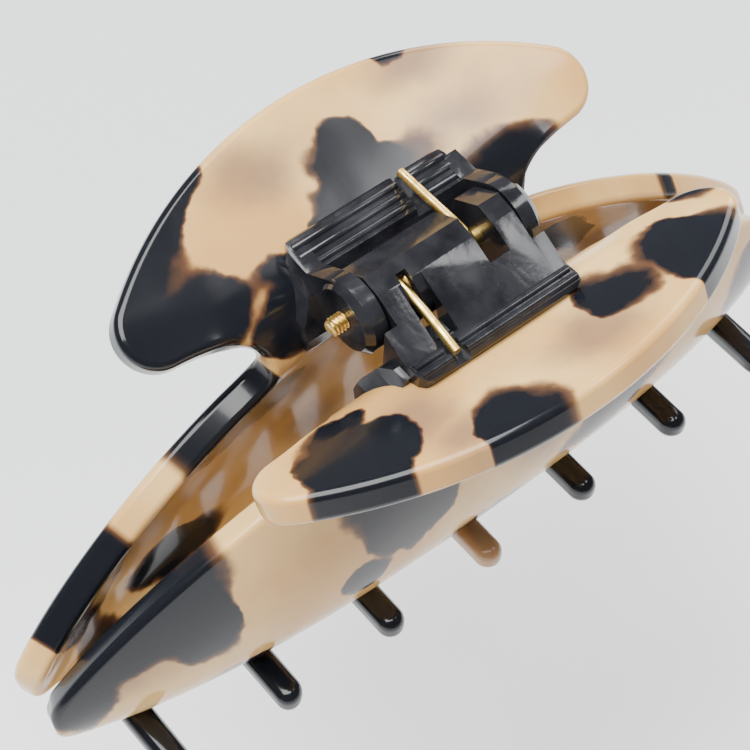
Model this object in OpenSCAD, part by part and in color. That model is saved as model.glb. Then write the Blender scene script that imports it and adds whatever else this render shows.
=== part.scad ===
/* [Jaws] */
// Half of the length of a claw, from the middle to its pointed end
half_len = 55.5; // [50:0.5:60]
// Thickness of the acetate sheet
sheet_t = 3.7; // [3:0.1:4.5]
// Outward bulge of a claw at its middle
bulge = 11.3; // [9:0.1:12.5]
// Height of the claw's upper edge line at the neck
neck_z = -9; // [-10:0.1:-8]
// Height of the line from which the teeth leave the claw
root_z = -39.8; // [-42:0.1:-38]

/* [Thumb tabs] */
// Angle at which a tab rises away from the hinge
tab_tilt = 25; // [20:1:30]
// Width of a tab from its bend to the middle of its outer edge
tab_depth = 17; // [14:0.5:19]
// Radius of a tab's outer edge, seen square to the tab
tab_edge_r = 48.6; // [46:0.2:55]
// Radius of each rounded horn
horn_r = 4.2; // [3.5:0.1:4.4]
// Distance of a horn's centre from the middle
horn_x = 28.3; // [27:0.1:29]
// Radius of the round notch between a horn and the claw
notch_r = 4; // [3.5:0.1:4.2]

/* [Teeth] */
// Distance from one tooth of a jaw to its next
tooth_pitch = 15.2; // [14.8:0.1:15.4]
// Width of a tooth
tooth_w = 3.8; // [3.4:0.1:4.2]
// How far a tooth reaches past the middle plane
tooth_reach = 14.6; // [12:0.1:15]

/* [Hinge] */
// Radius of the hinge screw's shank
pin_r = 1.1; // [1:0.05:1.2]
// Running clearance between the screw and the barrel, on the radius
pin_gap = 0.05; // [0.02:0.01:0.1]
// Outer radius of the barrel and of the ears
barrel_r = 4.6; // [4.4:0.1:4.8]
// Half of the distance between the outer faces of the ears
ear_x = 12.2; // [12:0.1:12.6]
// Gap between the two hinge leaves beside each ear
leaf_gap = 0.3; // [0.2:0.05:0.4]

/* [Spring] */
// Diameter of the spring wire
wire_d = 1.1; // [0.9:0.05:1.2]
// Mean radius of the coil
coil_r = 2.5; // [2.3:0.05:2.6]

/* [Hidden] */

// Colours
acetate_cream = [0.86, 0.71, 0.54];
hinge_black = [0.07, 0.07, 0.08];
brass_yellow = [0.80, 0.66, 0.28];

// Height of the hinge axis over the surface that the teeth stand on. All else is measured from that axis
axis_z = 45.8;

// The bend line, where the flat tab turns down into the neck
bend_y = 10.5;
bend_z = -3.3;
// The neck's middle surface at the middle of the clip
neck_y = 7.1;
// Thickness of the two claws' pointed ends, measured across the clip, from the middle plane
end_y = 2.1;
end_top_z = -33.5;
end_lift = 2.5;
root_y = 7;
tooth_z = -43.9;

// Outline of a barrel or ear wall
ear_t = 2.6;
inner_x = ear_x - ear_t - leaf_gap;
bar_x = 11.5;
foot_x = 13.9;
bore_r = pin_r + pin_gap;
barrel_bore_r = coil_r + wire_d / 2 + 0.35;

// Spring
coil_x0 = -5.6;
coil_x1 = 4.25;
coil_turns = 9;

// ---- Middle surface of a jaw, for the far side (+Y) ----

function frac(x) = min(1, abs(x) / half_len);

// Upper edge of the claw at x
function edge_point(x) = let (s = frac(x)) [
    end_y + (neck_y - end_y) * (1 - pow(s, 1.6)),
    end_top_z + (neck_z - end_top_z) * pow(1 - pow(s, 1.9), 0.8)
];

// Line from which the teeth leave the claw at x
function root_point(x) = let (s = frac(x)) [
    end_y + (root_y - end_y) * (1 - s * s),
    root_z + end_lift * pow(s, 8)
];

function bezier(p, t) =
    pow(1 - t, 3) * p[0] + 3 * t * pow(1 - t, 2) * p[1] + 3 * t * t * (1 - t) * p[2] + pow(t, 3) * p[3];

// Four control points of the claw's section at x, from its upper edge to the teeth
function claw_section(x) = let (
    top = edge_point(x),
    low = root_point(x),
    tall = top[1] - low[1],
    out = end_y + (bulge - end_y) * (1 - 0.96 * pow(frac(x), 2.6))
) [
    top,
    [top[0] + 0.85 * (out - top[0]), top[1] - 0.36 * tall],
    [out + 0.7 * (out - low[0]), low[1] + 0.22 * tall],
    low
];

// Four control points of the bend from the tab down to the claw's upper edge at x
function bend_section(x) = let (
    claw = claw_section(x),
    down = claw[1] - claw[0],
    dir = down / norm(down)
) [
    [bend_y, bend_z],
    [bend_y, bend_z] - 2.4 * [cos(tab_tilt), sin(tab_tilt)],
    claw[0] - 2.6 * dir,
    claw[0]
];

function unit(v) = v / norm(v);

// Direction of a line at its point i
function heading(line, i) = unit(line[min(len(line) - 1, i + 1)] - line[max(0, i - 1)]);

// A closed ring round a line in Y and Z at x, thick across the line
function sheet_ring(x, line, thick) = let (
    last = len(line) - 1,
    across = [for (i = [0:last]) let (h = heading(line, i)) thick / 2 * [-h[1], h[0]]]
) concat(
    [for (i = [0:last]) [x, line[i][0] + across[i][0], line[i][1] + across[i][1]]],
    [for (i = [last:-1:0]) [x, line[i][0] - across[i][0], line[i][1] - across[i][1]]]
);

// A solid skinned over rings that all have the same number of points
module skin(rings) {
    n = len(rings[0]);
    last = len(rings) - 1;
    sides = [for (i = [0:last - 1]) for (j = [0:n - 1])
        [i * n + j, i * n + (j + 1) % n, (i + 1) * n + (j + 1) % n, (i + 1) * n + j]];
    start = [[for (j = [n - 1:-1:0]) j]];
    finish = [[for (j = [0:n - 1]) last * n + j]];
    polyhedron(points = [for (r = rings) for (q = r) q], faces = concat(sides, start, finish), convexity = 6);
}

// Distances along the clip, closer together towards its ends
function spread(steps, reach) = [for (i = [-steps:steps]) reach * sin(90 * i / steps)];

module claw_sheet() {
    skin([for (x = spread(17, half_len))
        let (p = claw_section(x)) sheet_ring(x, [for (i = [0:11]) bezier(p, i / 11)], sheet_t)]);
}

// The neck is a hair thinner than the tab and the claw, which it reaches into at both ends
function neck_line(x) = concat(
    [[bend_y, bend_z] + 1.5 * [cos(tab_tilt), sin(tab_tilt)]],
    [for (i = [0:7]) bezier(bend_section(x), i / 7)],
    [for (t = [0.06, 0.12]) bezier(claw_section(x), t)]
);

module neck_sheet() {
    notch_x = 18.4 + notch_r;
    notch_z = -8.6;
    reach = notch_x - 0.3;
    difference() {
        skin([for (i = [-7:7]) let (x = i * reach / 7) sheet_ring(x, neck_line(x), sheet_t - 0.1)]);
        for (side = [-1, 1])
            translate([side * notch_x, 0, notch_z])
                rotate([-90, 0, 0])
                    cylinder(r = notch_r, h = 20, $fn = 48);
    }
}

// Outline of the tab in its own plane, x along the clip and y away from the bend
module tab_outline() {
    centre_y = tab_depth - tab_edge_r;
    horn_y = centre_y + sqrt(pow(tab_edge_r - horn_r, 2) - horn_x * horn_x);
    open_angle = atan2(horn_x, horn_y - centre_y);
    edge = [for (i = [-10:10]) let (a = i * open_angle / 10)
        [tab_edge_r * sin(a), centre_y + tab_edge_r * cos(a)]];
    horn = [for (i = [1:9]) let (a = open_angle + i * (180 - open_angle) / 9)
        [horn_x + horn_r * sin(a), horn_y + horn_r * cos(a)]];
    under = [[22.4, -3], [19, -1.5], [17, 0]];
    half = concat(horn, under);
    polygon(concat(edge, half, [for (i = [len(half) - 1:-1:0]) [-half[i][0], half[i][1]]]));
}

module tab_plate() {
    translate([0, bend_y, bend_z])
        rotate([tab_tilt, 0, 0])
            translate([0, 0, -sheet_t / 2])
                linear_extrude(sheet_t)
                    tab_outline();
}

// One tooth: it leaves the claw, curves under and lies flat across the clip
module tooth(x) {
    ball_r = tooth_w / 2;
    root = root_point(x);
    knee = [x, root[0] - 5, tooth_z + 0.5];
    hull() {
        translate([x, root[0], root[1]]) sphere(r = ball_r - 0.1, $fn = 16);
        translate(knee) sphere(r = ball_r, $fn = 16);
    }
    hull() {
        translate(knee) sphere(r = ball_r, $fn = 16);
        translate([x, ball_r - tooth_reach, tooth_z]) sphere(r = ball_r, $fn = 16);
    }
}

module on_axis() {
    translate([0, 0, axis_z])
        children();
}

module jaw(teeth) {
    claw_sheet();
    neck_sheet();
    tab_plate();
    for (x = teeth)
        tooth(x);
}

module far_jaw() {
    color(acetate_cream)
        on_axis()
            jaw([for (i = [-3:3]) i * tooth_pitch]);
}

module near_jaw() {
    color(acetate_cream)
        on_axis()
            mirror([0, 1, 0])
                jaw([for (i = [-3:2]) (i + 0.5) * tooth_pitch]);
}

// ---- Hinge leaves, drawn for the far side (+Y) ----

// A plate with the given outline in Y and Z, from x0 to x1
module slab(x0, x1, outline) {
    translate([x0, 0, 0])
        rotate([90, 0, 90])
            linear_extrude(x1 - x0)
                polygon(outline);
}

module rod(r, x0, x1) {
    translate([x0, 0, 0])
        rotate([0, 90, 0])
            cylinder(r = r, h = x1 - x0, $fn = 64);
}

// Back of a leaf where it is fused to the jaw: tab side first, foot last
leaf_back = [[9.8, -1.8], [8.2, -2.65], [6.3, -4.75], [5.4, -6.8], [5.5, -8.6]];

// Front of the foot, from its lower end up
foot_front = [[4.2, -8.8], [3.9, -6.8], [4.7, -4.3], [6, -2], [7.9, -0.7], [9.8, -0.7]];

// The foot widens downwards and hugs the jaw
module foot() {
    intersection() {
        slab(-foot_x, foot_x, concat(leaf_back, foot_front));
        translate([0, 12, 0])
            rotate([90, 0, 0])
                linear_extrude(10)
                    polygon([[-bar_x, 0], [bar_x, 0], [12.4, -2.5], [foot_x, -5], [foot_x, -9],
                        [-foot_x, -9], [-foot_x, -5], [-12.4, -2.5]]);
    }
}

// Keeps what lies between x0 and x1 and short of y1, with rounded outer corners
module plan(x0, x1, y1) {
    intersection() {
        children();
        translate([0, 0, -12])
            linear_extrude(18)
                polygon([[x0, 0], [x1, 0], [x1, y1 - 1.2], [x1 - 0.35, y1 - 0.35], [x1 - 1.2, y1],
                    [x0 + 1.2, y1], [x0 + 0.35, y1 - 0.35], [x0, y1 - 1.2]]);
    }
}

// Ribs along a bar, each a thin half-round strip
module ribs(y0, z0, count, step, x0, x1) {
    for (i = [0:count - 1])
        translate([0, y0 + i * step, z0 + i * step * 0.2])
            rod(0.5, x0, x1);
}

// An ear with a bevelled rim, its outer face at x = -ear_x
module ear() {
    bevel = 0.8;
    rod(barrel_r, bevel - ear_x, ear_t - ear_x);
    translate([-ear_x, 0, 0])
        rotate([0, 90, 0])
            cylinder(r1 = barrel_r - bevel, r2 = barrel_r, h = bevel, $fn = 64);
}

module far_hinge_leaf() {
    bar_right = bar_x - 1;
    bar = concat([[6.4, -0.3], [6.7, 0.35], [11.2, 1.2], [11.7, 0.7], [11.6, -0.85]], leaf_back,
        [[4.3, -8.8], [3.9, -6.8], [4.6, -4.4], [5.4, -2.2]]);
    arm = concat([[0, barrel_r - 0.3], [3, 3.5], [6.7, 0.9], [10.2, 1], [10.6, -1.4]], leaf_back,
        [[3.9, -6.8], [2.2, -4.1], [0, 0.3 - barrel_r]]);
    color(hinge_black)
        on_axis()
            difference() {
                union() {
                    difference() {
                        plan(-bar_x, bar_right, 11.7)
                            union() {
                                slab(-bar_x, bar_x, bar);
                                ribs(7.6, 0.3, 3, 1.35, 0.5 - bar_x, bar_right - 0.5);
                            }
                        rod(barrel_r + leaf_gap, -inner_x - leaf_gap, inner_x + leaf_gap);
                        // Slot in which the spring's upper leg lies
                        translate([coil_x1 - 0.9, 5, -0.6])
                            cube([1.9, 8, 4]);
                    }
                    foot();
                    for (side = [0, 1])
                        mirror([side, 0, 0]) {
                            slab(0.4 - ear_x, ear_t - ear_x, arm);
                            ear();
                        }
                }
                rod(pin_r, -ear_x - 1, ear_x + 1);
            }
}

// Outline of the barrel: flat facets on top, round below
barrel_outline = [for (a = [62, 94, 152, 180, 204, 228, 252, 276, 300, 324, 348, 372, 396])
    barrel_r * [cos(a), sin(a)]];

module near_hinge_leaf() {
    plate_top = [[2.2, 4.05], [9.2, 0.35]];
    flange = [[9.5, 0.6], [11.9, 0.9], [12.3, 0.4], [12.1, -0.62]];
    inside = [[4.3, -8.8], [3.9, -6.8], [4.4, -4], [5.6, -1.2], [4.9, 1], [1.9, 2.6]];
    outer_plate = concat([[5.4, 2.35], [9.2, 0.35]], flange, leaf_back, [[4.3, -8.8], [3.9, -6.8], [5.2, -4.6]]);
    right_wall_x = 6.4;
    left_wall_x = -6.9;
    slot_x = 3.6;
    color(hinge_black)
        on_axis()
            mirror([0, 1, 0])
                difference() {
                    union() {
                        // Roof over the coil, open below
                        difference() {
                            slab(left_wall_x - 0.1, right_wall_x + 0.1, barrel_outline);
                            rod(barrel_bore_r, left_wall_x, right_wall_x);
                            translate([-20, -10, -11])
                                cube([40, 20, 10]);
                        }
                        // Plate from the roof down to the ribs
                        difference() {
                            plan(-11, 11, 12.3)
                                union() {
                                    slab(-inner_x, inner_x, concat(plate_top, flange, leaf_back, inside));
                                    slab(-11, -inner_x, outer_plate);
                                    slab(inner_x, 11, outer_plate);
                                    ribs(9.9, 0.55, 2, 1.35, -10.6, 10.6);
                                }
                            rod(barrel_bore_r, left_wall_x, right_wall_x);
                            // Slot in which the spring's lower leg lies
                            translate([coil_x0 - 0.7, 2.4, -1])
                                cube([2.6, 6.4, 8]);
                            translate([coil_x0 - 1.2, 2.4, 0.2])
                                cube([2, 12, 8]);
                        }
                        foot();
                        // Walls that turn on the screw
                        slab(-inner_x, left_wall_x, barrel_outline);
                        slab(right_wall_x, inner_x, barrel_outline);
                    }
                    rod(bore_r, -inner_x - 1, inner_x + 1);
                    // Room for the lower leg where it leaves the coil
                    translate([coil_x0 - 0.7, 1.2, 1.2])
                        cube([1.4, 3, 8]);
                    // Slot through the roof beside the right wall, for the upper leg
                    translate([slot_x, -8, -1])
                        cube([right_wall_x - slot_x, 13.2, 8]);
                }
}

module hinge_screw() {
    head_r = 2.7;
    head_h = 1.3;
    head_ball_r = (head_r * head_r + head_h * head_h) / (2 * head_h);
    head_angle = asin(head_r / head_ball_r);
    tip_x = -14.1;
    groove = 0.22;
    pitch = 0.45;
    thread = [for (i = [0:4]) each [
        [pin_r, tip_x + 0.3 + i * pitch],
        [pin_r - groove, tip_x + 0.4 + i * pitch],
        [pin_r, tip_x + 0.5 + i * pitch]]];
    dome = [for (i = [6:-1:0]) let (a = head_angle * i / 6)
        [head_ball_r * sin(a), ear_x + head_h + head_ball_r * (cos(a) - 1)]];
    color(brass_yellow)
        on_axis()
            rotate([0, 90, 0])
                rotate_extrude($fn = 64)
                    polygon(concat([[0, tip_x], [pin_r - 0.2, tip_x]], thread, [[pin_r, ear_x]], dome));
}

// ---- Torsion spring: one wire swept along its own line ----

// The far leg lies on the far leaf, the near leg on the near leaf
far_leg = [[coil_x1, 10.6, 2.2], [coil_x1, 8, 2.25], [coil_x1, 5.5, 2.3], [coil_x1, 3, 2.4]];
near_leg = [[coil_x0, -3, 2.3], [coil_x0 - 0.05, -6, 1.8], [coil_x0 - 0.2, -9, 1.4], [coil_x0 - 0.4, -11.2, 1.15]];
coil_steps = coil_turns * 12;
coil = [for (i = [0:coil_steps]) let (a = 360 * coil_turns * i / coil_steps)
    [coil_x1 + (coil_x0 - coil_x1) * i / coil_steps, coil_r * sin(-a), coil_r * cos(a)]];
spring_line = concat(far_leg, coil, near_leg);

// Eight points round the wire at point i, squared up on the hinge axis
function wire_ring(line, i) = let (
    h = heading(line, i),
    side = unit(cross(h, [1, 0, 0])),
    over = cross(h, side)
) [for (k = [7:-1:0]) line[i] + wire_d / 2 * (cos(45 * k) * side + sin(45 * k) * over)];

module torsion_spring() {
    color(brass_yellow)
        on_axis()
            skin([for (i = [0:len(spring_line) - 1]) wire_ring(spring_line, i)]);
}

far_jaw();
near_jaw();
far_hinge_leaf();
near_hinge_leaf();
hinge_screw();
torsion_spring();
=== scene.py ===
"""Visual model of a tortoiseshell acetate claw clip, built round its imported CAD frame."""

import logging
import math
from dataclasses import dataclass, field
from enum import Enum
from typing import Callable, Sequence

import bmesh
import bpy
import numpy as np
from mathutils import Matrix, Vector
from mathutils.geometry import delaunay_2d_cdt


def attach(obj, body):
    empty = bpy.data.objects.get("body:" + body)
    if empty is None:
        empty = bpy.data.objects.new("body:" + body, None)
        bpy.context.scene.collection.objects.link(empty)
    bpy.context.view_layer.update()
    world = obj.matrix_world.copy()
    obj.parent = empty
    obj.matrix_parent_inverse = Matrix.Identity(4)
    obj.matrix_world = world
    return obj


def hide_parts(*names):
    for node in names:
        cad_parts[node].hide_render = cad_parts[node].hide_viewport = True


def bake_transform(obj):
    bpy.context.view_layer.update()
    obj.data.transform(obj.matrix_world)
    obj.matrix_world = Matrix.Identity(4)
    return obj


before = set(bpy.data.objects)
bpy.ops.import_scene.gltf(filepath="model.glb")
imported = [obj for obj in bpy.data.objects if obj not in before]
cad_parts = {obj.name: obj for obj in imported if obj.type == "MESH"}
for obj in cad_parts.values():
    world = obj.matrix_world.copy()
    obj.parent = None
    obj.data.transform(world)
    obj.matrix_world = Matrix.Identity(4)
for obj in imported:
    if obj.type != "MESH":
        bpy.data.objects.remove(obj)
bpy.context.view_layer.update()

LOG = logging.getLogger("claw_clip")
MM = 0.001
AXIS_HEIGHT = 45.8
FAR_BODY = "far_half"
NEAR_BODY = "near_half"


class Side(Enum):
    """Which half of the clip a piece belongs to, as the sign of its Y."""

    FAR = 1
    NEAR = -1


# ---- Node helpers -------------------------------------------------------------------


@dataclass
class Graph:
    """Thin wrapper that adds nodes to a shader or geometry tree and links them in one call."""

    tree: bpy.types.NodeTree

    def add(self, kind: str, links: dict | None = None, **settings: object) -> bpy.types.Node:
        """Adds one node.

        Args:
            kind: The node's type name.
            links: Input name or number to a value or an output socket.
            **settings: Properties set on the node before its inputs.

        Returns:
            The new node.
        """
        made = self.tree.nodes.new(kind)
        for key, value in settings.items():
            setattr(made, key, value)
        for key, value in (links or {}).items():
            socket = made.inputs[key]
            if isinstance(value, bpy.types.NodeSocket):
                self.tree.links.new(value, socket)
            else:
                socket.default_value = value
        return made

    def math(self, operation: str, *values: object) -> bpy.types.NodeSocket:
        """Adds a Math node and returns its result."""
        made = self.add("ShaderNodeMath", dict(enumerate(values)), operation=operation)
        return made.outputs[0]

    def noise(self, place: object, scale: float, detail: float, w: float) -> bpy.types.Node:
        """Adds a four-dimensional noise texture.

        Args:
            place: The point it is read at.
            scale: Its frequency, per unit of the point.
            detail: Its number of finer octaves.
            w: The fourth coordinate, which picks one pattern.

        Returns:
            The noise node.
        """
        inputs = {"Vector": place, "Scale": scale, "Detail": detail, "W": w}
        return self.add("ShaderNodeTexNoise", inputs, noise_dimensions="4D")

    def vector_math(self, operation: str, inputs: dict) -> bpy.types.Node:
        """Adds a Vector Math node."""
        return self.add("ShaderNodeVectorMath", inputs, operation=operation)

    def ramp(
        self, fac: object, stops: Sequence[tuple[float, tuple]], ease: bool = False
    ) -> bpy.types.NodeSocket:
        """Adds a colour ramp.

        Args:
            fac: The value that picks the colour.
            stops: Positions and linear colours, lowest first.
            ease: Smooth steps between the stops instead of straight ones.

        Returns:
            The colour output.
        """
        made = self.add("ShaderNodeValToRGB", {0: fac})
        ramp = made.color_ramp
        ramp.interpolation = "EASE" if ease else "LINEAR"
        while len(ramp.elements) < len(stops):
            ramp.elements.new(0.5)
        for element, (position, colour) in zip(ramp.elements, stops):
            element.position = position
            element.color = (*colour, 1.0)
        return made.outputs[0]

    def mix(self, fac: object, first: object, second: object) -> bpy.types.NodeSocket:
        """Mixes two colours and returns the result."""
        made = self.add("ShaderNodeMix", data_type="RGBA")
        for number, value in ((0, fac), (6, first), (7, second)):
            if isinstance(value, bpy.types.NodeSocket):
                self.tree.links.new(value, made.inputs[number])
            elif number == 0:
                made.inputs[0].default_value = value
            else:
                made.inputs[number].default_value = (*value, 1.0)
        return made.outputs[2]


def new_material(name: str) -> tuple[bpy.types.Material, Graph, bpy.types.Node]:
    """Makes a material with one Principled shader.

    Args:
        name: The material's name.

    Returns:
        The material, its graph and its shader node.
    """
    material = bpy.data.materials.new(name)
    material.use_nodes = True
    graph = Graph(material.node_tree)
    return material, graph, material.node_tree.nodes["Principled BSDF"]


def grey(level: float) -> tuple[float, float, float]:
    """A neutral linear colour."""
    return (level, level, level)


# ---- Finishes -----------------------------------------------------------------------


@dataclass(frozen=True)
class Blotch:
    """One dark patch in the acetate, an ellipse on the flat pattern of a jaw, in millimetres."""

    x: float
    w: float
    rx: float
    rw: float
    turn: float = 0.0


@dataclass(frozen=True)
class AcetateFinish:
    """Cream acetate sheet with tortoiseshell patches, polished all over."""

    name: str
    dark: tuple[Blotch, ...]
    smoky: tuple[Blotch, ...]
    seed: float = 0.0
    cream: tuple = (0.56, 0.315, 0.100)
    pale: tuple = (0.73, 0.48, 0.195)
    brown: tuple = (0.10, 0.034, 0.016)
    black: tuple = (0.006, 0.007, 0.010)
    smoke: tuple = (0.20, 0.115, 0.075)
    roughness: float = 0.16
    coat_roughness: float = 0.06

    def field(
        self, graph: Graph, point: bpy.types.NodeSocket, patches: Sequence[Blotch]
    ) -> bpy.types.NodeSocket:
        """Builds a field that is 1 inside the patches' centres and falls below 0 outside them.

        Args:
            graph: The material's graph.
            point: A point on the flat pattern, in millimetres.
            patches: The ellipses.

        Returns:
            The field's socket.
        """
        result = None
        for patch in patches:
            local = graph.add(
                "ShaderNodeMapping",
                {
                    "Vector": point,
                    "Location": (patch.x, patch.w, 0.0),
                    "Rotation": (0.0, 0.0, math.radians(patch.turn)),
                    "Scale": (patch.rx, patch.rw, 1.0),
                },
                vector_type="TEXTURE",
            )
            length = graph.add("ShaderNodeVectorMath", {0: local.outputs[0]}, operation="LENGTH")
            size = min(patch.rx, patch.rw)
            depth = graph.math("MULTIPLY", graph.math("SUBTRACT", 1.0, length.outputs["Value"]), size)
            result = depth if result is None else graph.math("SMOOTH_MAX", result, depth, 1.2)
        return result

    def warped(self, graph: Graph, point: bpy.types.NodeSocket) -> bpy.types.NodeSocket:
        """Shifts points of the flat pattern by noise at three scales, which makes the patches irregular.

        Args:
            graph: The material's graph.
            point: A point on the flat pattern, in millimetres.

        Returns:
            The shifted point, still on the flat pattern.
        """
        warp = point
        for scale, amount in ((0.055, 9.0), (0.20, 3.2), (0.8, 0.8)):
            noise = graph.noise(point, scale, 2.0, self.seed + scale)
            centred = graph.vector_math("SUBTRACT", {0: noise.outputs["Color"], 1: (0.5, 0.5, 0.5)})
            moved = graph.vector_math("SCALE", {0: centred.outputs[0], "Scale": amount})
            warp = graph.vector_math("ADD", {0: warp, 1: moved.outputs[0]}).outputs[0]
        drop = graph.add("ShaderNodeSeparateXYZ", {0: warp})
        flat = graph.add("ShaderNodeCombineXYZ", {0: drop.outputs[0], 1: drop.outputs[1], 2: 0.0})
        return flat.outputs[0]

    def build(self) -> bpy.types.Material:
        """Makes the material.

        Returns:
            The finished material.
        """
        material, graph, shader = new_material(self.name)
        flat = graph.add("ShaderNodeUVMap", uv_map="flat_pattern")
        point = graph.vector_math("SCALE", {0: flat.outputs[0], "Scale": 100.0}).outputs[0]
        flat_warp = self.warped(graph, point)
        dark = self.field(graph, flat_warp, self.dark)
        smoky = self.field(graph, flat_warp, self.smoky)
        clouds = graph.noise(point, 0.05, 4.0, self.seed + 3.0)
        base = graph.ramp(clouds.outputs[0], [(0.35, self.cream), (0.68, self.pale)], ease=True)
        smoke_level = graph.math("MULTIPLY_ADD", smoky, 0.11, 0.32)
        smoke_fac = graph.ramp(smoke_level, [(0.0, grey(0.0)), (0.62, grey(0.78))], ease=True)
        tinted = graph.mix(smoke_fac, base, self.smoke)
        softness = graph.noise(point, 0.09, 0.0, self.seed + 7.0)
        width = graph.ramp(softness.outputs[0], [(0.42, grey(0.16)), (0.66, grey(1.6))], ease=True)
        reach = graph.math("DIVIDE", dark, graph.math("MULTIPLY_ADD", width, 1.0, 0.25))
        fringe_level = graph.math("MULTIPLY_ADD", reach, 0.5, 0.62)
        fringe = graph.ramp(fringe_level, [(0.14, grey(0.0)), (0.50, grey(0.9))], ease=True)
        core_level = graph.math("MULTIPLY_ADD", reach, 0.45, 0.38)
        core = graph.ramp(core_level, [(0.0, grey(0.0)), (0.55, grey(1.0))], ease=True)
        browned = graph.mix(fringe, tinted, self.brown)
        colour = graph.mix(core, browned, self.black)
        graph.tree.links.new(colour, shader.inputs["Base Color"])
        shader.inputs["Roughness"].default_value = self.roughness
        shader.inputs["Subsurface Weight"].default_value = 0.45
        shader.inputs["Subsurface Radius"].default_value = (1.0, 0.55, 0.28)
        shader.inputs["Subsurface Scale"].default_value = 2.2 * MM
        shader.inputs["Specular IOR Level"].default_value = 0.26
        shader.inputs["Coat Weight"].default_value = 0.22
        shader.inputs["Coat Roughness"].default_value = self.coat_roughness
        place = graph.add("ShaderNodeTexCoord").outputs["Object"]
        waves = graph.add("ShaderNodeTexNoise", {"Vector": place, "Scale": 110.0, "Detail": 1.0})
        fine = graph.add("ShaderNodeTexNoise", {"Vector": place, "Scale": 1500.0, "Detail": 3.0})
        height = graph.math("MULTIPLY_ADD", fine.outputs[0], 0.03, waves.outputs[0])
        bump = graph.add("ShaderNodeBump", {"Height": height, "Strength": 0.10, "Distance": 1.2 * MM})
        graph.tree.links.new(bump.outputs[0], shader.inputs["Normal"])
        return material


@dataclass(frozen=True)
class MouldedPlasticFinish:
    """Glossy black injection-moulded plastic with faint flow marks."""

    name: str = "hinge_black_plastic"
    dark: tuple = (0.006, 0.006, 0.008)
    light: tuple = (0.020, 0.021, 0.025)

    def build(self) -> bpy.types.Material:
        """Makes the material."""
        material, graph, shader = new_material(self.name)
        place = graph.add("ShaderNodeTexCoord").outputs["Object"]
        clouds = graph.add("ShaderNodeTexNoise", {"Vector": place, "Scale": 260.0, "Detail": 5.0})
        graph.tree.links.new(
            graph.ramp(clouds.outputs[0], [(0.3, self.dark), (0.75, self.light)]), shader.inputs["Base Color"]
        )
        gloss = graph.ramp(clouds.outputs[0], [(0.3, grey(0.10)), (0.8, grey(0.24))])
        graph.tree.links.new(gloss, shader.inputs["Roughness"])
        shader.inputs["Specular IOR Level"].default_value = 0.38
        shader.inputs["Coat Weight"].default_value = 0.15
        shader.inputs["Coat Roughness"].default_value = 0.08
        stretched = graph.add("ShaderNodeMapping", {"Vector": place, "Scale": (1.0, 0.45, 0.45)})
        flow_inputs = {"Vector": stretched.outputs[0], "Scale": 330.0, "Detail": 2.0, "Distortion": 0.4}
        flow = graph.add("ShaderNodeTexNoise", flow_inputs)
        dimples = graph.add("ShaderNodeTexNoise", {"Vector": place, "Scale": 1900.0, "Detail": 2.0})
        height = graph.math("MULTIPLY_ADD", dimples.outputs[0], 0.12, flow.outputs[0])
        bump = graph.add("ShaderNodeBump", {"Height": height, "Strength": 0.22, "Distance": 0.30 * MM})
        graph.tree.links.new(bump.outputs[0], shader.inputs["Normal"])
        return material


@dataclass(frozen=True)
class BrassFinish:
    """Bright yellow brass with drawing marks and a little tarnish."""

    name: str
    bright: tuple = (0.90, 0.66, 0.22)
    dull: tuple = (0.52, 0.34, 0.09)

    def build(self) -> bpy.types.Material:
        """Makes the material."""
        material, graph, shader = new_material(self.name)
        place = graph.add("ShaderNodeTexCoord").outputs["Object"]
        stains = graph.add("ShaderNodeTexNoise", {"Vector": place, "Scale": 700.0, "Detail": 5.0})
        colour = graph.ramp(stains.outputs[0], [(0.36, self.dull), (0.58, self.bright)])
        graph.tree.links.new(colour, shader.inputs["Base Color"])
        graph.tree.links.new(
            graph.ramp(stains.outputs[0], [(0.35, grey(0.40)), (0.7, grey(0.20))]), shader.inputs["Roughness"]
        )
        shader.inputs["Metallic"].default_value = 1.0
        marks = graph.add("ShaderNodeTexNoise", {"Vector": place, "Scale": 2600.0, "Detail": 2.0})
        relief = {"Height": marks.outputs[0], "Strength": 0.25, "Distance": 0.05 * MM}
        bump = graph.add("ShaderNodeBump", relief)
        graph.tree.links.new(bump.outputs[0], shader.inputs["Normal"])
        return material


# ---- Mesh helpers -------------------------------------------------------------------


def new_object(name: str, points: np.ndarray, faces: Sequence[Sequence[int]]) -> bpy.types.Object:
    """Makes a smooth mesh object from points in millimetres, measured from the hinge axis.

    Args:
        name: The object's and the mesh's name.
        points: An array of N by 3.
        faces: Vertex numbers of each face, turning outwards.

    Returns:
        The object, linked to the scene.
    """
    mesh = bpy.data.meshes.new(name)
    raised = (np.asarray(points, float) + np.array([0.0, 0.0, AXIS_HEIGHT])) * MM
    mesh.from_pydata(raised.tolist(), [], [list(map(int, f)) for f in faces])
    mesh.shade_smooth()
    made = bpy.data.objects.new(name, mesh)
    bpy.context.scene.collection.objects.link(made)
    return made


def smoothstep(low: float, high: float, value: np.ndarray) -> np.ndarray:
    """Rises smoothly from 0 at low to 1 at high."""
    t = np.clip((value - low) / (high - low), 0.0, 1.0)
    return t * t * (3.0 - 2.0 * t)


def resample(line: np.ndarray, step: float) -> np.ndarray:
    """Spaces a closed line's points evenly.

    Args:
        line: Points of the loop, N by 2.
        step: The wanted distance between points.

    Returns:
        The new loop.
    """
    closed = np.vstack([line, line[:1]])
    along = np.concatenate([[0.0], np.cumsum(np.linalg.norm(np.diff(closed, axis=0), axis=1))])
    count = max(8, int(round(along[-1] / step)))
    wanted = np.linspace(0.0, along[-1], count, endpoint=False)
    return np.stack([np.interp(wanted, along, closed[:, k]) for k in (0, 1)], axis=1)


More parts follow.
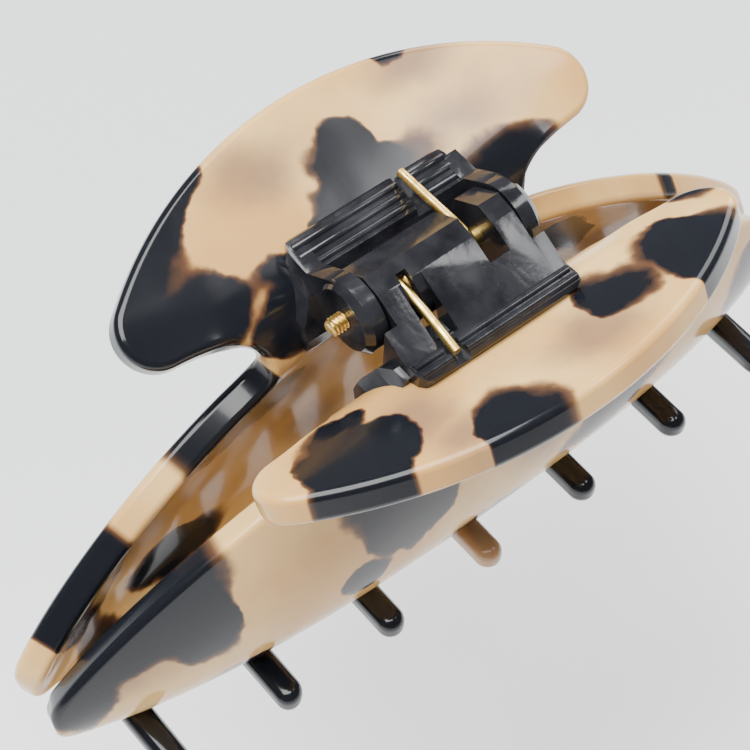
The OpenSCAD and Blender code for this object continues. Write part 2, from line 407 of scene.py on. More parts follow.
def rounded(
    before: Sequence[float], corner: Sequence[float], after: Sequence[float], cut: float
) -> list[np.ndarray]:
    """Rounds one corner of a line.

    Args:
        before: A point on the line before the corner.
        corner: The corner.
        after: A point on the line after it.
        cut: How far from the corner the curve starts and ends.

    Returns:
        Points of the curve that takes the corner's place.
    """
    a, p, b = (np.asarray(q, float) for q in (before, corner, after))
    start = p + (a - p) * min(1.0, cut / np.linalg.norm(a - p))
    end = p + (b - p) * min(1.0, cut / np.linalg.norm(b - p))
    return [(1 - t) ** 2 * start + 2 * t * (1 - t) * p + t * t * end for t in np.linspace(0.0, 1.0, 7)]


def eased(
    start: Sequence[float], lead: Sequence[float], trail: Sequence[float], end: Sequence[float]
) -> list[np.ndarray]:
    """Joins two lines with a smooth cubic curve.

    Args:
        start: Where the curve leaves the first line.
        lead: The control point that sets its direction there.
        trail: The control point that sets its direction at the end.
        end: Where it meets the second line.

    Returns:
        Points of the curve, both ends included.
    """
    a, b, c, d = (np.asarray(q, float) for q in (start, lead, trail, end))
    return [
        (1 - t) ** 3 * a + 3 * t * (1 - t) ** 2 * b + 3 * t * t * (1 - t) * c + t**3 * d
        for t in np.linspace(0.0, 1.0, 14)
    ]


def inside(loop: np.ndarray, points: np.ndarray) -> np.ndarray:
    """Tells which points lie inside a loop, by counting crossings."""
    result = np.zeros(len(points), bool)
    following = np.roll(loop, -1, axis=0)
    for (x0, y0), (x1, y1) in zip(loop, following):
        spans = (y0 > points[:, 1]) != (y1 > points[:, 1])
        if y0 != y1:
            result ^= spans & (points[:, 0] < (x1 - x0) * (points[:, 1] - y0) / (y1 - y0) + x0)
    return result


def distance_to(loop: np.ndarray, points: np.ndarray) -> np.ndarray:
    """Distance from each point to the nearest point of a finely spaced loop."""
    best = np.full(len(points), 1e9)
    for q in loop:
        np.minimum(best, np.hypot(points[:, 0] - q[0], points[:, 1] - q[1]), out=best)
    return best


# ---- Jaws ---------------------------------------------------------------------------


@dataclass
class Jaw:
    """One acetate jaw: a sheet cut flat with tab, neck, claw and teeth, then bent to shape.

    The flat pattern has x along the clip and w across it. w is 0 at the bend line, positive
    on the thumb tab, and minus the distance along the section on the neck, claw and teeth.
    """

    name: str
    side: Side
    teeth: tuple[float, ...]
    finish: AcetateFinish
    half_len: float = 55.5
    sheet: float = 3.7
    bulge: float = 11.3
    neck_z: float = -9.0
    neck_y: float = 7.1
    end_y: float = 2.1
    end_top_z: float = -33.5
    root_y: float = 7.0
    root_z: float = -39.8
    end_lift: float = 2.5
    tooth_z: float = -43.9
    tooth_width: float = 3.7
    tooth_reach: float = 14.6
    bend: tuple[float, float] = (10.5, -3.3)
    tilt: float = 25.0
    tab_depth: float = 17.0
    tab_edge_r: float = 48.6
    horn_r: float = 4.6
    horn_x: float = 27.9
    notch_x: float = 22.4
    notch_r: float = 4.0
    dish: float = 0.7
    edge_r: float = 0.95
    tooth_edge_r: float = 1.5
    spacing: float = 1.1
    rim_steps: int = 4
    _steps: int = field(default=33, repr=False)

    def edge(self, x: np.ndarray) -> np.ndarray:
        """Upper edge of the claw at x, as y and z."""
        s = np.clip(np.abs(x) / self.half_len, 0.0, 1.0)
        y = self.end_y + (self.neck_y - self.end_y) * (1 - s**1.6)
        z = self.end_top_z + (self.neck_z - self.end_top_z) * np.clip(1 - s**1.9, 0.0, 1.0) ** 0.8
        return np.stack([y, z], axis=-1)

    def root(self, x: np.ndarray) -> np.ndarray:
        """Line at x from which the teeth leave the claw, as y and z."""
        s = np.clip(np.abs(x) / self.half_len, 0.0, 1.0)
        y = self.end_y + (self.root_y - self.end_y) * (1 - s * s)
        return np.stack([y, self.root_z + self.end_lift * s**8], axis=-1)

    def claw_controls(self, x: np.ndarray) -> list[np.ndarray]:
        """Four control points of the claw's section at x."""
        top, low = self.edge(x), self.root(x)
        tall = top[..., 1] - low[..., 1]
        s = np.clip(np.abs(x) / self.half_len, 0.0, 1.0)
        out = self.end_y + (self.bulge - self.end_y) * (1 - 0.96 * s**2.6)
        first = np.stack([top[..., 0] + 0.85 * (out - top[..., 0]), top[..., 1] - 0.36 * tall], axis=-1)
        second = np.stack([out + 0.7 * (out - low[..., 0]), low[..., 1] + 0.22 * tall], axis=-1)
        return [top, first, second, low]

    def neck_controls(self, claw: list[np.ndarray]) -> list[np.ndarray]:
        """Four control points of the bend, given those of the claw below it."""
        down = claw[1] - claw[0]
        down = down / np.linalg.norm(down, axis=-1, keepdims=True)
        start = np.broadcast_to(np.array(self.bend), claw[0].shape)
        return [start, start - 2.4 * self.tab_direction(), claw[0] - 2.6 * down, claw[0]]

    def tooth_controls(self, claw: list[np.ndarray]) -> list[np.ndarray]:
        """Four control points of a tooth's bend, given those of the claw above it."""
        away = claw[3] - claw[2]
        away = away / np.linalg.norm(away, axis=-1, keepdims=True)
        low = claw[3]
        flat_start = np.stack([low[..., 0] - 6.5, np.full(low.shape[:-1], self.tooth_z)], axis=-1)
        return [low, low + 3.2 * away, flat_start + np.array([2.6, 0.0]), flat_start]

    def tab_direction(self) -> np.ndarray:
        """Direction in Y and Z in which the tab rises."""
        a = math.radians(self.tilt)
        return np.array([math.cos(a), math.sin(a)])

    @staticmethod
    def bezier(controls: list[np.ndarray], t: np.ndarray) -> np.ndarray:
        """Points of a cubic curve at t, where t may have one more axis than the controls."""
        a, b, c, d = controls
        t = t[..., None]
        return (1 - t) ** 3 * a + 3 * t * (1 - t) ** 2 * b + 3 * t * t * (1 - t) * c + t**3 * d

    def run(self, controls: list[np.ndarray]) -> tuple[np.ndarray, np.ndarray]:
        """Measures a curve.

        Args:
            controls: Four control points, each N by 2.

        Returns:
            The curve's parameter at each step, and N by steps distances along it.
        """
        t = np.linspace(0.0, 1.0, self._steps)
        spread = [c[:, None, :] for c in controls]
        line = self.bezier(spread, np.broadcast_to(t, (len(controls[0]), self._steps)))
        gaps = np.linalg.norm(np.diff(line, axis=1), axis=2)
        return t, np.concatenate([np.zeros((len(line), 1)), np.cumsum(gaps, axis=1)], axis=1)

    def at(self, controls: list[np.ndarray], distance: np.ndarray) -> tuple[np.ndarray, np.ndarray]:
        """Points at given distances along a curve.

        Args:
            controls: Four control points, each N by 2.
            distance: N distances from the curve's start.

        Returns:
            The points, and the curve's whole length at each.
        """
        t, along = self.run(controls)
        total = along[:, -1]
        wanted = np.clip(distance, 0.0, total)
        upper = np.clip((along < wanted[:, None]).sum(axis=1), 1, self._steps - 1)
        rows = np.arange(len(along))
        low, high = along[rows, upper - 1], along[rows, upper]
        part = (wanted - low) / np.maximum(high - low, 1e-9)
        return self.bezier(controls, t[upper - 1] + part * (t[1] - t[0])), total

    def lengths(self, x: np.ndarray) -> tuple[np.ndarray, np.ndarray]:
        """Lengths along the section at x of the neck and of the claw."""
        claw = self.claw_controls(x)
        return self.run(self.neck_controls(claw))[1][:, -1], self.run(claw)[1][:, -1]

    def section(self, x: np.ndarray, w: np.ndarray) -> np.ndarray:
        """Bends the flat pattern.

        Args:
            x: N places along the clip.
            w: N places across the flat pattern.

        Returns:
            N by 3 points of the sheet's middle surface, on the far side.
        """
        claw = self.claw_controls(x)
        neck = self.neck_controls(claw)
        s = -w
        on_neck, neck_len = self.at(neck, s)
        on_claw, claw_len = self.at(claw, s - neck_len)
        tooth = self.tooth_controls(claw)
        on_tooth, tooth_len = self.at(tooth, s - neck_len - claw_len)
        rest = s - neck_len - claw_len - tooth_len
        flat_end = on_tooth.copy()
        flat_end[:, 0] -= np.maximum(rest, 0.0)
        plane = np.array(self.bend) + w[:, None] * self.tab_direction()
        lift = self.dish * (np.abs(x) / 30.0) ** 2 * smoothstep(-3.0, 6.0, w)
        normal = np.array([-self.tab_direction()[1], self.tab_direction()[0]])
        tab = plane + lift[:, None] * normal
        down = (claw[1] - claw[0]) / np.linalg.norm(claw[1] - claw[0], axis=1, keepdims=True)
        above = claw[0] - (neck_len - s)[:, None] * down
        beside = tab + (above - tab) * smoothstep(3.0, 6.0, s)[:, None]
        outer = smoothstep(19.0, 24.0, np.abs(x))[:, None]
        upper = on_neck + (beside - on_neck) * outer
        yz = np.where((w >= 0)[:, None], tab, upper)
        yz = np.where((s > neck_len)[:, None], on_claw, yz)
        yz = np.where((s > neck_len + claw_len)[:, None], flat_end, yz)
        return np.column_stack([x, yz])

    def surface(self, flat: np.ndarray) -> tuple[np.ndarray, np.ndarray, np.ndarray, np.ndarray]:
        """Middle surface, its normal and its two tangents at points of the flat pattern."""
        x, w = flat[:, 0], flat[:, 1]
        h = 0.35
        along = (self.section(x + h, w) - self.section(x - h, w)) / (2 * h)
        across = (self.section(x, w + h) - self.section(x, w - h)) / (2 * h)
        normal = np.cross(along, across)
        normal /= np.linalg.norm(normal, axis=1, keepdims=True)
        return self.section(x, w), normal, along, across

    def half_outline(self) -> list[np.ndarray]:
        """Right half of the flat outline, from the tab's middle round the notch to the claw's end."""
        centre = self.tab_depth - self.tab_edge_r
        horn_w = centre + math.sqrt((self.tab_edge_r - self.horn_r) ** 2 - self.horn_x**2)
        open_angle = math.atan2(self.horn_x, horn_w - centre)
        line = [
            np.array([self.tab_edge_r * math.sin(a), centre + self.tab_edge_r * math.cos(a)])
            for a in np.linspace(0.0, open_angle, 60)
        ]
        turn_end = math.radians(176.0)
        line += [
            np.array([self.horn_x + self.horn_r * math.sin(a), horn_w + self.horn_r * math.cos(a)])
            for a in np.linspace(open_angle, turn_end, 24)[1:]
        ]
        neck_len = float(self.lengths(np.array([self.notch_x]))[0][0])
        tall = 3.7
        notch_w = tall - neck_len
        notch = [
            np.array([self.notch_x - self.notch_r * math.cos(a), notch_w + tall * math.sin(a)])
            for a in np.radians(np.linspace(62, -78, 28))
        ]
        leaving = np.array([math.cos(turn_end), -math.sin(turn_end)])
        arriving = (notch[1] - notch[0]) / np.linalg.norm(notch[1] - notch[0])
        line += eased(line[-1], line[-1] + 2.2 * leaving, notch[0] - 2.2 * arriving, notch[0])[1:-1] + notch
        xs = np.linspace(self.notch_x + 1.2, self.half_len - 1.3, 90)
        ws = -self.lengths(xs)[0]
        line += [np.array([x, w]) for x, w in zip(xs, ws)]
        return line

    def lower_edge(self) -> list[np.ndarray]:
        """The claw's right end and its toothed lower edge, from the right end to the left one."""
        neck_end, claw_end = (float(v[0]) for v in self.lengths(np.array([self.half_len])))
        top, low = -neck_end, -neck_end - claw_end
        end = self.half_len

        def root_w(x: float) -> float:
            """The flat place of the root line at x."""
            neck, claw = self.lengths(np.array([x]))
            return float(-neck[0] - claw[0])

        shoulder = float(-self.lengths(np.array([end - 1.3]))[0][0])
        line = rounded((end - 1.3, shoulder), (end - 0.05, top + 0.6), (end, (top + low) / 2), 2.0)[1:]
        line += rounded((end, (top + low) / 2), (end, low), (end - 2.5, root_w(end - 2.5)), 1.9)
        half = self.tooth_width / 2
        here = end - 3.0
        for tooth in sorted(self.teeth, reverse=True):
            straight = tooth + half + 1.6
            line += [np.array([x, root_w(x)]) for x in np.arange(here, straight, -0.8)]
            base = root_w(tooth)
            tip = base - self.tooth_length(tooth) + half
            start = (straight, root_w(straight))
            line += rounded(start, (tooth + half, base), (tooth + half, base - 2.5), 1.4)
            narrow = half - 0.1
            line += [
                np.array([tooth + narrow * math.cos(a), tip - narrow * math.sin(a)])
                for a in np.radians(np.linspace(0, 180, 19))
            ]
            back = tooth - half - 1.6
            line += rounded((tooth - half, base - 2.5), (tooth - half, base), (back, root_w(back)), 1.4)
            here = back - 0.4
        line += [np.array([x, root_w(x)]) for x in np.arange(here, -end + 3.0, -0.8)]
        line += rounded((-end + 2.5, root_w(end - 2.5)), (-end, low), (-end, (top + low) / 2), 1.9)
        line += rounded((-end, (top + low) / 2), (-end + 0.05, top + 0.6), (-end + 1.3, shoulder), 2.0)[:-1]
        return line

    def tooth_length(self, x: float) -> float:
        """Length on the flat pattern of the tooth at x, from the root line to its tip."""
        at = np.array([x])
        claw = self.claw_controls(at)
        bend = float(self.run(self.tooth_controls(claw))[1][0, -1])
        start_y = float(claw[3][0, 0]) - 6.5
        return bend + start_y + self.tooth_reach

    def outline(self) -> np.ndarray:
        """The whole flat outline, anticlockwise and evenly spaced."""
        right = self.half_outline()
        left = [np.array([-p[0], p[1]]) for p in reversed(right[1:])]
        loop = resample(np.array(right + self.lower_edge() + left), 0.55)
        area = np.sum(loop[:, 0] * np.roll(loop[:, 1], -1) - np.roll(loop[:, 0], -1) * loop[:, 1])
        return loop if area > 0 else loop[::-1]

    def build(self) -> bpy.types.Object:
        """Makes the jaw's mesh, with round edges all the way along its outline.

        Returns:
            The jaw's object, dressed and riding on its body.
        """
        loop = self.outline()
        ahead = np.roll(loop, -1, axis=0) - np.roll(loop, 1, axis=0)
        ahead /= np.linalg.norm(ahead, axis=1, keepdims=True)
        inward = np.column_stack([-ahead[:, 1], ahead[:, 0]])
        for _ in range(2):
            inward = inward + 0.5 * (np.roll(inward, 1, axis=0) + np.roll(inward, -1, axis=0))
            inward /= np.linalg.norm(inward, axis=1, keepdims=True)
        neck, claw = self.lengths(loop[:, 0])
        past_root = smoothstep(0.0, 3.0, -loop[:, 1] - neck - claw)
        radius = self.edge_r + (self.tooth_edge_r - self.edge_r) * past_root
        count = len(loop)
        half = self.sheet / 2
        points, normals, flats = [], [], []

        def ring(angle: float, sign: int) -> None:
            """Adds one ring of the rim at an angle from the middle plane."""
            c, s = math.cos(angle), math.sin(angle)
            flat = loop + inward * (radius * (1 - c))[:, None]
            middle, normal, along, across = self.surface(flat)
            out = -(along * inward[:, :1] + across * inward[:, 1:])
            out -= normal * np.sum(out * normal, axis=1, keepdims=True)
            out /= np.linalg.norm(out, axis=1, keepdims=True)
            points.append(middle + sign * normal * (half - radius + radius * s)[:, None])
            normals.append(out * c + sign * normal * s)
            flats.append(flat)

        angles = [math.radians(90 * k / self.rim_steps) for k in range(self.rim_steps + 1)]
        for angle in reversed(angles):
            ring(angle, -1)
        for angle in angles:
            ring(angle, 1)
        rings = len(points)
        inner = flats[-1]
        gx = np.arange(-56.0, 56.0, self.spacing)
        gw = np.arange(-80.0, 20.0, self.spacing)
        grid = np.array([(x + (self.spacing / 2) * (k % 2), w) for k, w in enumerate(gw) for x in gx])
        grid = grid[inside(inner, grid)]
        grid = grid[distance_to(inner, grid) > 0.6 * self.spacing]
        flat = np.vstack([inner, grid])
        cut = delaunay_2d_cdt(
            [Vector(p) for p in flat.tolist()], [], [list(range(count))], 1, 1e-6
        )
        if len(cut[0]) != len(flat):
            raise RuntimeError(f"{self.name}: the flat outline crosses itself")
        middle, normal, _, _ = self.surface(grid)
        for sign in (-1, 1):
            points.append(middle + sign * normal * half)
            normals.append(sign * normal)
            flats.append(grid)
        low_grid = rings * count
        high_grid = low_grid + len(grid)
        faces = []
        for k in range(rings - 1):
            for i in range(count):
                j = (i + 1) % count
                faces.append((k * count + i, k * count + j, (k + 1) * count + j, (k + 1) * count + i))
        last_ring = (rings - 1) * count
        for face in cut[2]:
            a, b, c = face
            if np.cross(flat[b] - flat[a], flat[c] - flat[a]) < 0:
                b, c = c, b
            high = [v + last_ring if v < count else v - count + high_grid for v in (a, b, c)]
            low = [v if v < count else v - count + low_grid for v in (a, c, b)]
            faces += [high, low]
        points_all, normals_all, flats_all = (np.vstack(v) for v in (points, normals, flats))
        if self.side is Side.NEAR:
            points_all[:, 1] *= -1
            normals_all[:, 1] *= -1
            faces = [tuple(reversed(f)) for f in faces]
        made = new_object(self.name, points_all, faces)
        mesh = made.data
        uv = mesh.uv_layers.new(name="flat_pattern")
        corners = np.zeros(len(mesh.loops), int)
        mesh.loops.foreach_get("vertex_index", corners)
        uv.data.foreach_set("uv", (flats_all[corners] / 100.0).ravel())
        mesh.normals_split_custom_set_from_vertices(normals_all.tolist())
        mesh.materials.append(self.finish.build())
        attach(made, FAR_BODY if self.side is Side.FAR else NEAR_BODY)
        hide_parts("far_jaw" if self.side is Side.FAR else "near_jaw")
        return made


# ---- Hinge --------------------------------------------------------------------------


@dataclass
class HingeLeaf:
    """One black moulded leaf, taken from its CAD solid with every edge softened."""

    node: str
    body: str
    finish: MouldedPlasticFinish
    edge_r: float = 0.2

    def build(self) -> bpy.types.Object:
        """Copies the CAD leaf, merges its faces and rounds its edges.

        Returns:
            The leaf's object.
        """
        work = bmesh.new()
        work.from_mesh(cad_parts[self.node].data)
        bmesh.ops.remove_doubles(work, verts=work.verts, dist=2e-6)
        bmesh.ops.dissolve_limit(work, angle_limit=math.radians(1.0), verts=work.verts, edges=work.edges)
        mesh = bpy.data.meshes.new(f"{self.node}_moulded")
        work.to_mesh(mesh)
        work.free()
        made = bpy.data.objects.new(mesh.name, mesh)
        bpy.context.scene.collection.objects.link(made)
        bevel = made.modifiers.new("soft_edges", "BEVEL")
        bevel.width = self.edge_r * MM
        bevel.segments = 3
        bevel.limit_method = "ANGLE"
        bevel.angle_limit = math.radians(25)
        bevel.harden_normals = True
        mesh.shade_smooth()
        smooth_by_angle(made, 40.0)
        mesh.materials.append(self.finish.build())
        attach(made, self.body)
        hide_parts(self.node)
        return made


def smooth_by_angle(made: bpy.types.Object, degrees: float) -> None:
    """Keeps edges sharper than the angle crisp in the shading."""
    made.data.set_sharp_from_angle(angle=math.radians(degrees))


@dataclass
class WireTree:
    """Geometry Nodes tree that sweeps a round wire along a line."""

    name: str

    def build(self) -> bpy.types.NodeTree:
        """Makes the tree, with the wire's radius and the number of its sides as named inputs."""
        tree = bpy.data.node_groups.new(self.name, "GeometryNodeTree")
        tree.interface.new_socket("Geometry", in_out="INPUT", socket_type="NodeSocketGeometry")
        tree.interface.new_socket("Wire Radius", in_out="INPUT", socket_type="NodeSocketFloat")
        tree.interface.new_socket("Wire Sides", in_out="INPUT", socket_type="NodeSocketInt")
        tree.interface.new_socket("Material", in_out="INPUT", socket_type="NodeSocketMaterial")
        tree.interface.new_socket("Geometry", in_out="OUTPUT", socket_type="NodeSocketGeometry")
        graph = Graph(tree)
        given = graph.add("NodeGroupInput")
        curve = graph.add("GeometryNodeMeshToCurve", {0: given.outputs["Geometry"]})
        circle = graph.add(
            "GeometryNodeCurvePrimitiveCircle",
            {"Resolution": given.outputs["Wire Sides"], "Radius": given.outputs["Wire Radius"]},
        )
        swept = graph.add(
            "GeometryNodeCurveToMesh",
            {"Curve": curve.outputs[0], "Profile Curve": circle.outputs[0], "Fill Caps": True},
        )
        smooth = graph.add("GeometryNodeSetShadeSmooth", {0: swept.outputs[0]})
        real = graph.add("GeometryNodeRealizeInstances", {0: smooth.outputs[0]})
        dressed = graph.add(
            "GeometryNodeSetMaterial", {0: real.outputs[0], "Material": given.outputs["Material"]}
        )
        graph.add("NodeGroupOutput", {0: dressed.outputs[0]})
        return tree


def run_tree(
    name: str, source: bpy.types.Object, tree: bpy.types.NodeTree, values: dict[str, object]
) -> bpy.types.Object:
    """Runs a Geometry Nodes tree on an object and keeps only the plain mesh.

    Args:
        name: Name of the new object.
        source: The object the tree reads; it is removed.
        tree: The tree.
        values: Named inputs and their values.

    Returns:
        The new object.
    """
    modifier = source.modifiers.new("tree", "NODES")
    modifier.node_group = tree
    ids = {
        s.name: s.identifier
        for s in tree.interface.items_tree
        if s.item_type == "SOCKET" and s.in_out == "INPUT"
    }
    for key, value in values.items():
        modifier[ids[key]] = value
    bpy.context.view_layer.update()
    evaluated = source.evaluated_get(bpy.context.evaluated_depsgraph_get())
    mesh = bpy.data.meshes.new_from_object(evaluated)
    mesh.name = name
    source.modifiers.remove(modifier)
    bpy.data.objects.remove(source)
    work = bmesh.new()
    work.from_mesh(mesh)
    bmesh.ops.remove_doubles(work, verts=work.verts, dist=1e-7)
    bmesh.ops.recalc_face_normals(work, faces=work.faces)
    work.to_mesh(mesh)
    work.free()
    made = bpy.data.objects.new(name, mesh)
    bpy.context.scene.collection.objects.link(made)
    return made


@dataclass
class TorsionSpring:
    """The brass spring: a coil round the screw with a leg on each leaf."""

    finish: BrassFinish
    wire: float = 1.1
    radius: float = 2.5
    right_x: float = 4.25
    left_x: float = -5.6
    turns: int = 9
    steps: int = 40
    far_leg: tuple = ((4.25, 10.6, 2.2), (4.25, 8.0, 2.25), (4.25, 5.5, 2.3), (4.25, 3.0, 2.4))
    near_leg: tuple = ((-5.6, -3.0, 2.3), (-5.65, -6.0, 1.8), (-5.8, -9.0, 1.4), (-6.0, -11.2, 1.15))

    def line(self) -> np.ndarray:
        """The wire's centre line, leg, coil and leg."""
        count = self.turns * self.steps
        t = np.arange(count + 1) / count
        a = 2 * math.pi * self.turns * t
        coil = np.column_stack([
            self.right_x + (self.left_x - self.right_x) * t,
            -self.radius * np.sin(a),
            self.radius * np.cos(a),
        ])
        return np.vstack([self.far_leg, coil, self.near_leg])

    def build(self) -> bpy.types.Object:
        """Sweeps the wire."""
        line = self.line()
        mesh = bpy.data.meshes.new("spring_line")
        raised = (line + np.array([0.0, 0.0, AXIS_HEIGHT])) * MM
        mesh.from_pydata(raised.tolist(), [(i, i + 1) for i in range(len(line) - 1)], [])
        source = bpy.data.objects.new("spring_line", mesh)
        bpy.context.scene.collection.objects.link(source)
        material = self.finish.build()
        made = run_tree(
            "torsion_spring_wire",
            source,
            WireTree("spring_wire").build(),
            {"Wire Radius": self.wire / 2 * MM, "Wire Sides": 16, "Material": material},
        )
        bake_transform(made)
        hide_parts("torsion_spring")
        return made


@dataclass
class HingeScrew:
    """The brass screw: a domed head, a plain shank and a cut thread at its tip."""

    finish: BrassFinish
    radius: float = 1.1
    tip_x: float = -14.1
    thread_end_x: float = -12.0
    head_x: float = 12.2
    head_r: float = 2.7
    head_h: float = 1.3
    pitch: float = 0.45
    depth: float = 0.22
    sides: int = 48

    def thread_radius(self, x: float, angle: float) -> float:
        """Radius of the threaded tip at x and at an angle round it."""
        phase = (x - self.tip_x) / self.pitch - angle / (2 * math.pi)
        wave = abs((phase % 1.0) * 2 - 1)
        cut = self.depth * (1 - min(1.0, 1.35 * wave))
        taper = max(0.0, 0.35 - (x - self.tip_x)) * 0.9
        return self.radius - cut - taper

    def build(self) -> bpy.types.Object:
        """Turns the screw's outline round the hinge axis."""
        rings: list[Callable[[float], tuple[float, float]]] = []
        for x in np.arange(self.tip_x, self.thread_end_x, self.pitch / 10):
            rings.append(lambda a, x=x: (x, self.thread_radius(x, a)))
        for x in (self.thread_end_x + 0.05, self.head_x - 0.05, self.head_x):
            rings.append(lambda a, x=x: (x, self.radius))
        ball = (self.head_r**2 + self.head_h**2) / (2 * self.head_h)
        widest = math.asin(self.head_r / ball)
        rim = 0.16
        for x, r in ((0.0, self.head_r - rim), (rim * 0.3, self.head_r - rim * 0.25), (rim, self.head_r)):
            rings.append(lambda a, x=x, r=r: (self.head_x + x, r))
        for k in range(10, 0, -1):
            turn = widest * k / 10.6
            rings.append(
                lambda a, turn=turn: (
                    self.head_x + self.head_h + ball * (math.cos(turn) - 1) + rim * 0.4 * turn / widest,
                    ball * math.sin(turn),
                )
            )
        angles = [2 * math.pi * k / self.sides for k in range(self.sides)]
        points = []
        for ring in rings:
            for a in angles:
                x, r = ring(a)
                points.append((x, r * math.cos(a), r * math.sin(a)))
        n = self.sides
        faces = [
            (k * n + i, k * n + (i + 1) % n, (k + 1) * n + (i + 1) % n, (k + 1) * n + i)
            for k in range(len(rings) - 1)
            for i in range(n)
        ]
        start, end = len(points), len(points) + 1
        points += [(self.tip_x, 0.0, 0.0), (self.head_x + self.head_h, 0.0, 0.0)]
        last = (len(rings) - 1) * n
        faces += [(start, (i + 1) % n, i) for i in range(n)]
        faces += [(end, last + i, last + (i + 1) % n) for i in range(n)]
        made = new_object("hinge_screw_turned", np.array(points), faces)
        work = bmesh.new()
        work.from_mesh(made.data)
        bmesh.ops.recalc_face_normals(work, faces=work.faces)
        work.to_mesh(made.data)
        work.free()
        smooth_by_angle(made, 38.0)
        made.data.materials.append(self.finish.build())
        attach(made, FAR_BODY)
        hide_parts("hinge_screw")
        return made


# ---- Studio -------------------------------------------------------------------------


@dataclass
class Studio:
    """Pale floor, soft lights and the camera."""

    camera_mm: tuple = (-99.1, -109.5, 189.3)
    swing: float = 21.6
    tip: float = 61.7
    roll: float = 33.2
    lens: float = 107.2
    floor_z: float = -60.0

    def axes(self) -> tuple[np.ndarray, np.ndarray, np.ndarray]:
        """The camera's right, up and backward directions."""
        t, p, r = (math.radians(v) for v in (self.swing, self.tip, self.roll))
        s = math.sin(t)
        u = np.array([math.cos(t), -s * math.cos(p), s * math.sin(p)])
        v = np.array([0.0, math.sin(p), math.cos(p)])
        c = np.array([-s, -math.cos(t) * math.cos(p), math.cos(t) * math.sin(p)])
        return math.cos(r) * u - math.sin(r) * v, math.sin(r) * u + math.cos(r) * v, c

    def build(self) -> None:
        """Makes the floor, the lights and the camera."""
        right, up, back = self.axes()
        data = bpy.data.cameras.new("camera")
        data.lens = self.lens
        data.sensor_width = 36.0
        data.clip_start = 0.01
        camera = bpy.data.objects.new("camera", data)
        place = Matrix([[right[i], up[i], back[i], 0.0] for i in range(3)] + [[0, 0, 0, 1]])
        place.translation = (np.array(self.camera_mm) + np.array([0, 0, AXIS_HEIGHT])) * MM
        camera.matrix_world = place
        bpy.context.scene.collection.objects.link(camera)
        bpy.context.scene.camera = camera
        self.floor()
        self.light("key_softbox", (-0.15, 0.06, 0.64), (0.6, 0.6), 15.0)
        self.light("back_softbox", (0.50, 0.30, 0.35), (0.4, 0.4), 3.0)
        self.light("glare_strip", (0.25, -0.11, 0.47), (0.16, 0.08), 0.45)
        world = bpy.data.worlds.new("soft_surround")
        world.use_nodes = True
        world.node_tree.nodes["Background"].inputs[0].default_value = (0.93, 0.95, 1.0, 1.0)
        world.node_tree.nodes["Background"].inputs[1].default_value = 0.29
        bpy.context.scene.world = world

    def floor(self) -> None:
        """A wide pale sheet under the clip; its colour is painted darker towards +Y and mottled, as painted
        shade.
        """
        mesh = bpy.data.meshes.new("floor")
        size = 3.0
        z = self.floor_z * MM
        corners = [(-size, -size, z), (size, -size, z), (size, size, z), (-size, size, z)]
        mesh.from_pydata(corners, [], [(0, 1, 2, 3)])
        floor = bpy.data.objects.new("floor", mesh)
        material, graph, shader = new_material("pale_floor")
        place = graph.add("ShaderNodeTexCoord").outputs["Object"]
        across = graph.add("ShaderNodeSeparateXYZ", {0: place}).outputs[1]
        clouds = graph.add("ShaderNodeTexNoise", {"Vector": place, "Scale": 5.0, "Detail": 2.0})
        # Painted shade: the floor's colour darkens towards +Y and is mottled by noise, standing in for uneven
        # light across the backdrop.
        painted_shade_level = graph.math("MULTIPLY_ADD", across, -3.2, graph.math("MULTIPLY", clouds.outputs[0], 0.8))
        colour = graph.ramp(painted_shade_level, [(0.0, (0.70, 0.72, 0.735)), (0.75, (0.985, 0.985, 0.99))], ease=True)
        graph.tree.links.new(colour, shader.inputs["Base Color"])
        shader.inputs["Roughness"].default_value = 0.9
        mesh.materials.append(material)
        bpy.context.scene.collection.objects.link(floor)

    def light(self, name: str, place: tuple, size: tuple[float, float], power: float) -> None:
        """Adds one rectangular soft light that faces the clip.

        Args:
            name: The light's name.
            place: Its place in metres.
            size: Its width and height in metres.
            power: Its power in watts.
        """
        data = bpy.data.lights.new(name, "AREA")
        data.shape = "RECTANGLE"
        data.size, data.size_y = size
        data.energy = power
        made = bpy.data.objects.new(name, data)
        made.location = place
        aim = Vector((0.0, 0.0, AXIS_HEIGHT * MM)) - Vector(place)
        made.rotation_euler = aim.to_track_quat("-Z", "Y").to_euler()
        bpy.context.scene.collection.objects.link(made)


FAR_DARK = (
    Blotch(-26.5, 0.8, 9.5, 4.6),
    Blotch(-25.5, 8.2, 8.5, 3.4, 36.0),
    Blotch(-18.5, 13.0, 6.0, 2.0, 27.0),
    Blotch(2.5, 7.6, 3.8, 4.0),
    Blotch(2.0, 3.4, 8.0, 3.4),
    Blotch(-3.5, 0.0, 12.0, 3.4),
    Blotch(-12.0, -4.5, 7.0, 3.4),
    Blotch(17.5, -2.2, 6.0, 3.2, 12.0),
    Blotch(13.5, 16.0, 3.2, 1.5, -14.0),
    Blotch(-46.0, -23.0, 5.6, 9.5, -8.0),
    Blotch(-21.5, -15.0, 7.5, 6.5, -20.0),
    Blotch(27.5, -20.0, 3.4, 6.0, 24.0),
    Blotch(42.5, -17.5, 2.6, 3.2),
    Blotch(10.0, -33.0, 8.0, 4.2, 12.0),
    Blotch(-33.0, -35.0, 6.0, 3.2, -8.0),
    Blotch(44.0, -31.0, 6.5, 3.6, 20.0),
    Blotch(-45.6, -50.0, 4.2, 15.0),
    Blotch(-30.4, -53.0, 4.2, 13.0),
    Blotch(-15.2, -58.0, 4.2, 9.0),
    Blotch(15.2, -56.0, 3.6, 10.0),
    Blotch(30.4, -50.0, 4.4, 14.5),
    Blotch(45.6, -50.0, 4.4, 15.0),
)
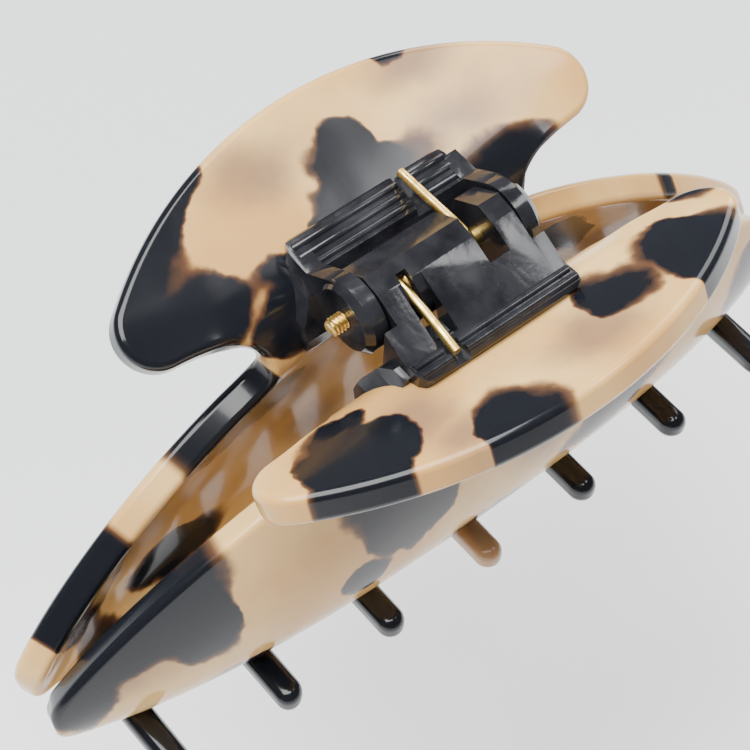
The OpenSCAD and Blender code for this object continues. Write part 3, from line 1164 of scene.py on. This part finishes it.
FAR_SMOKY = (
    Blotch(-8.0, 11.6, 5.2, 3.2),
    Blotch(15.0, 13.0, 4.8, 3.4, -20.0),
    Blotch(16.0, 4.6, 5.2, 2.0),
    Blotch(-9.0, -30.0, 3.8, 2.4),
    Blotch(-16.0, -19.0, 7.0, 5.0),
    Blotch(0.0, -54.0, 4.0, 15.0),
    Blotch(15.2, -50.0, 4.0, 14.0),
    Blotch(34.0, -27.0, 5.0, 4.0),
)
NEAR_DARK = (
    Blotch(-22.2, 6.2, 6.0, 4.8, 12.0),
    Blotch(-25.5, 10.8, 4.6, 3.0, 25.0),
    Blotch(-21.5, 0.4, 3.6, 1.9, -15.0),
    Blotch(-7.4, 14.2, 4.8, 4.6),
    Blotch(13.0, 6.0, 3.4, 3.8, 30.0),
    Blotch(23.2, 8.6, 5.4, 6.6, -24.0),
    Blotch(22.0, 14.0, 5.0, 1.6, -32.0),
    Blotch(30.0, -1.6, 2.8, 1.4),
    Blotch(-45.0, -20.5, 11.5, 7.0, 22.0),
    Blotch(-38.0, -23.0, 4.6, 5.4),
    Blotch(-53.0, -28.0, 5.5, 5.5),
    Blotch(-12.5, -22.0, 7.2, 6.2),
    Blotch(-19.5, -29.0, 2.8, 2.4),
    Blotch(20.0, -28.5, 7.0, 2.8, 6.0),
    Blotch(36.0, -20.0, 5.0, 4.0, -30.0),
    Blotch(2.0, -36.0, 8.5, 3.6, -8.0),
    Blotch(-33.0, -37.0, 6.0, 2.8),
    Blotch(46.0, -31.0, 5.0, 3.4, 20.0),
    Blotch(-38.0, -52.0, 4.2, 12.0),
    Blotch(-7.6, -56.0, 4.2, 11.0),
    Blotch(22.8, -52.0, 4.2, 13.0),
)
NEAR_SMOKY = (
    Blotch(7.0, 9.6, 5.4, 4.4),
    Blotch(-16.0, 6.0, 4.0, 4.0),
    Blotch(-13.0, 12.5, 3.6, 3.4),
    Blotch(-48.0, -28.0, 6.0, 2.4),
    Blotch(8.0, -24.0, 4.0, 2.4),
    Blotch(38.0, -52.0, 4.0, 12.0),
)


def main() -> None:
    """Builds every piece, dresses it and sets the stage."""
    Studio().build()
    pitch = 15.2
    plastic = MouldedPlasticFinish()
    made = [
        Jaw(
            "far_jaw_sheet",
            Side.FAR,
            tuple(i * pitch for i in range(-3, 4)),
            AcetateFinish("tortoise_far", FAR_DARK, FAR_SMOKY, 1.0),
        ).build(),
        Jaw(
            "near_jaw_sheet",
            Side.NEAR,
            tuple((i + 0.5) * pitch for i in range(-3, 3)),
            AcetateFinish("tortoise_near", NEAR_DARK, NEAR_SMOKY, 5.0),
        ).build(),
        HingeLeaf("far_hinge_leaf", FAR_BODY, plastic).build(),
        HingeLeaf("near_hinge_leaf", NEAR_BODY, plastic).build(),
        TorsionSpring(BrassFinish("spring_wire_brass")).build(),
        HingeScrew(BrassFinish("screw_brass_turned")).build(),
    ]
    for piece in made:
        LOG.info("%s: %d faces", piece.name, len(piece.data.polygons))


if __name__ == "__main__":
    logging.basicConfig(level=logging.INFO)
    main()
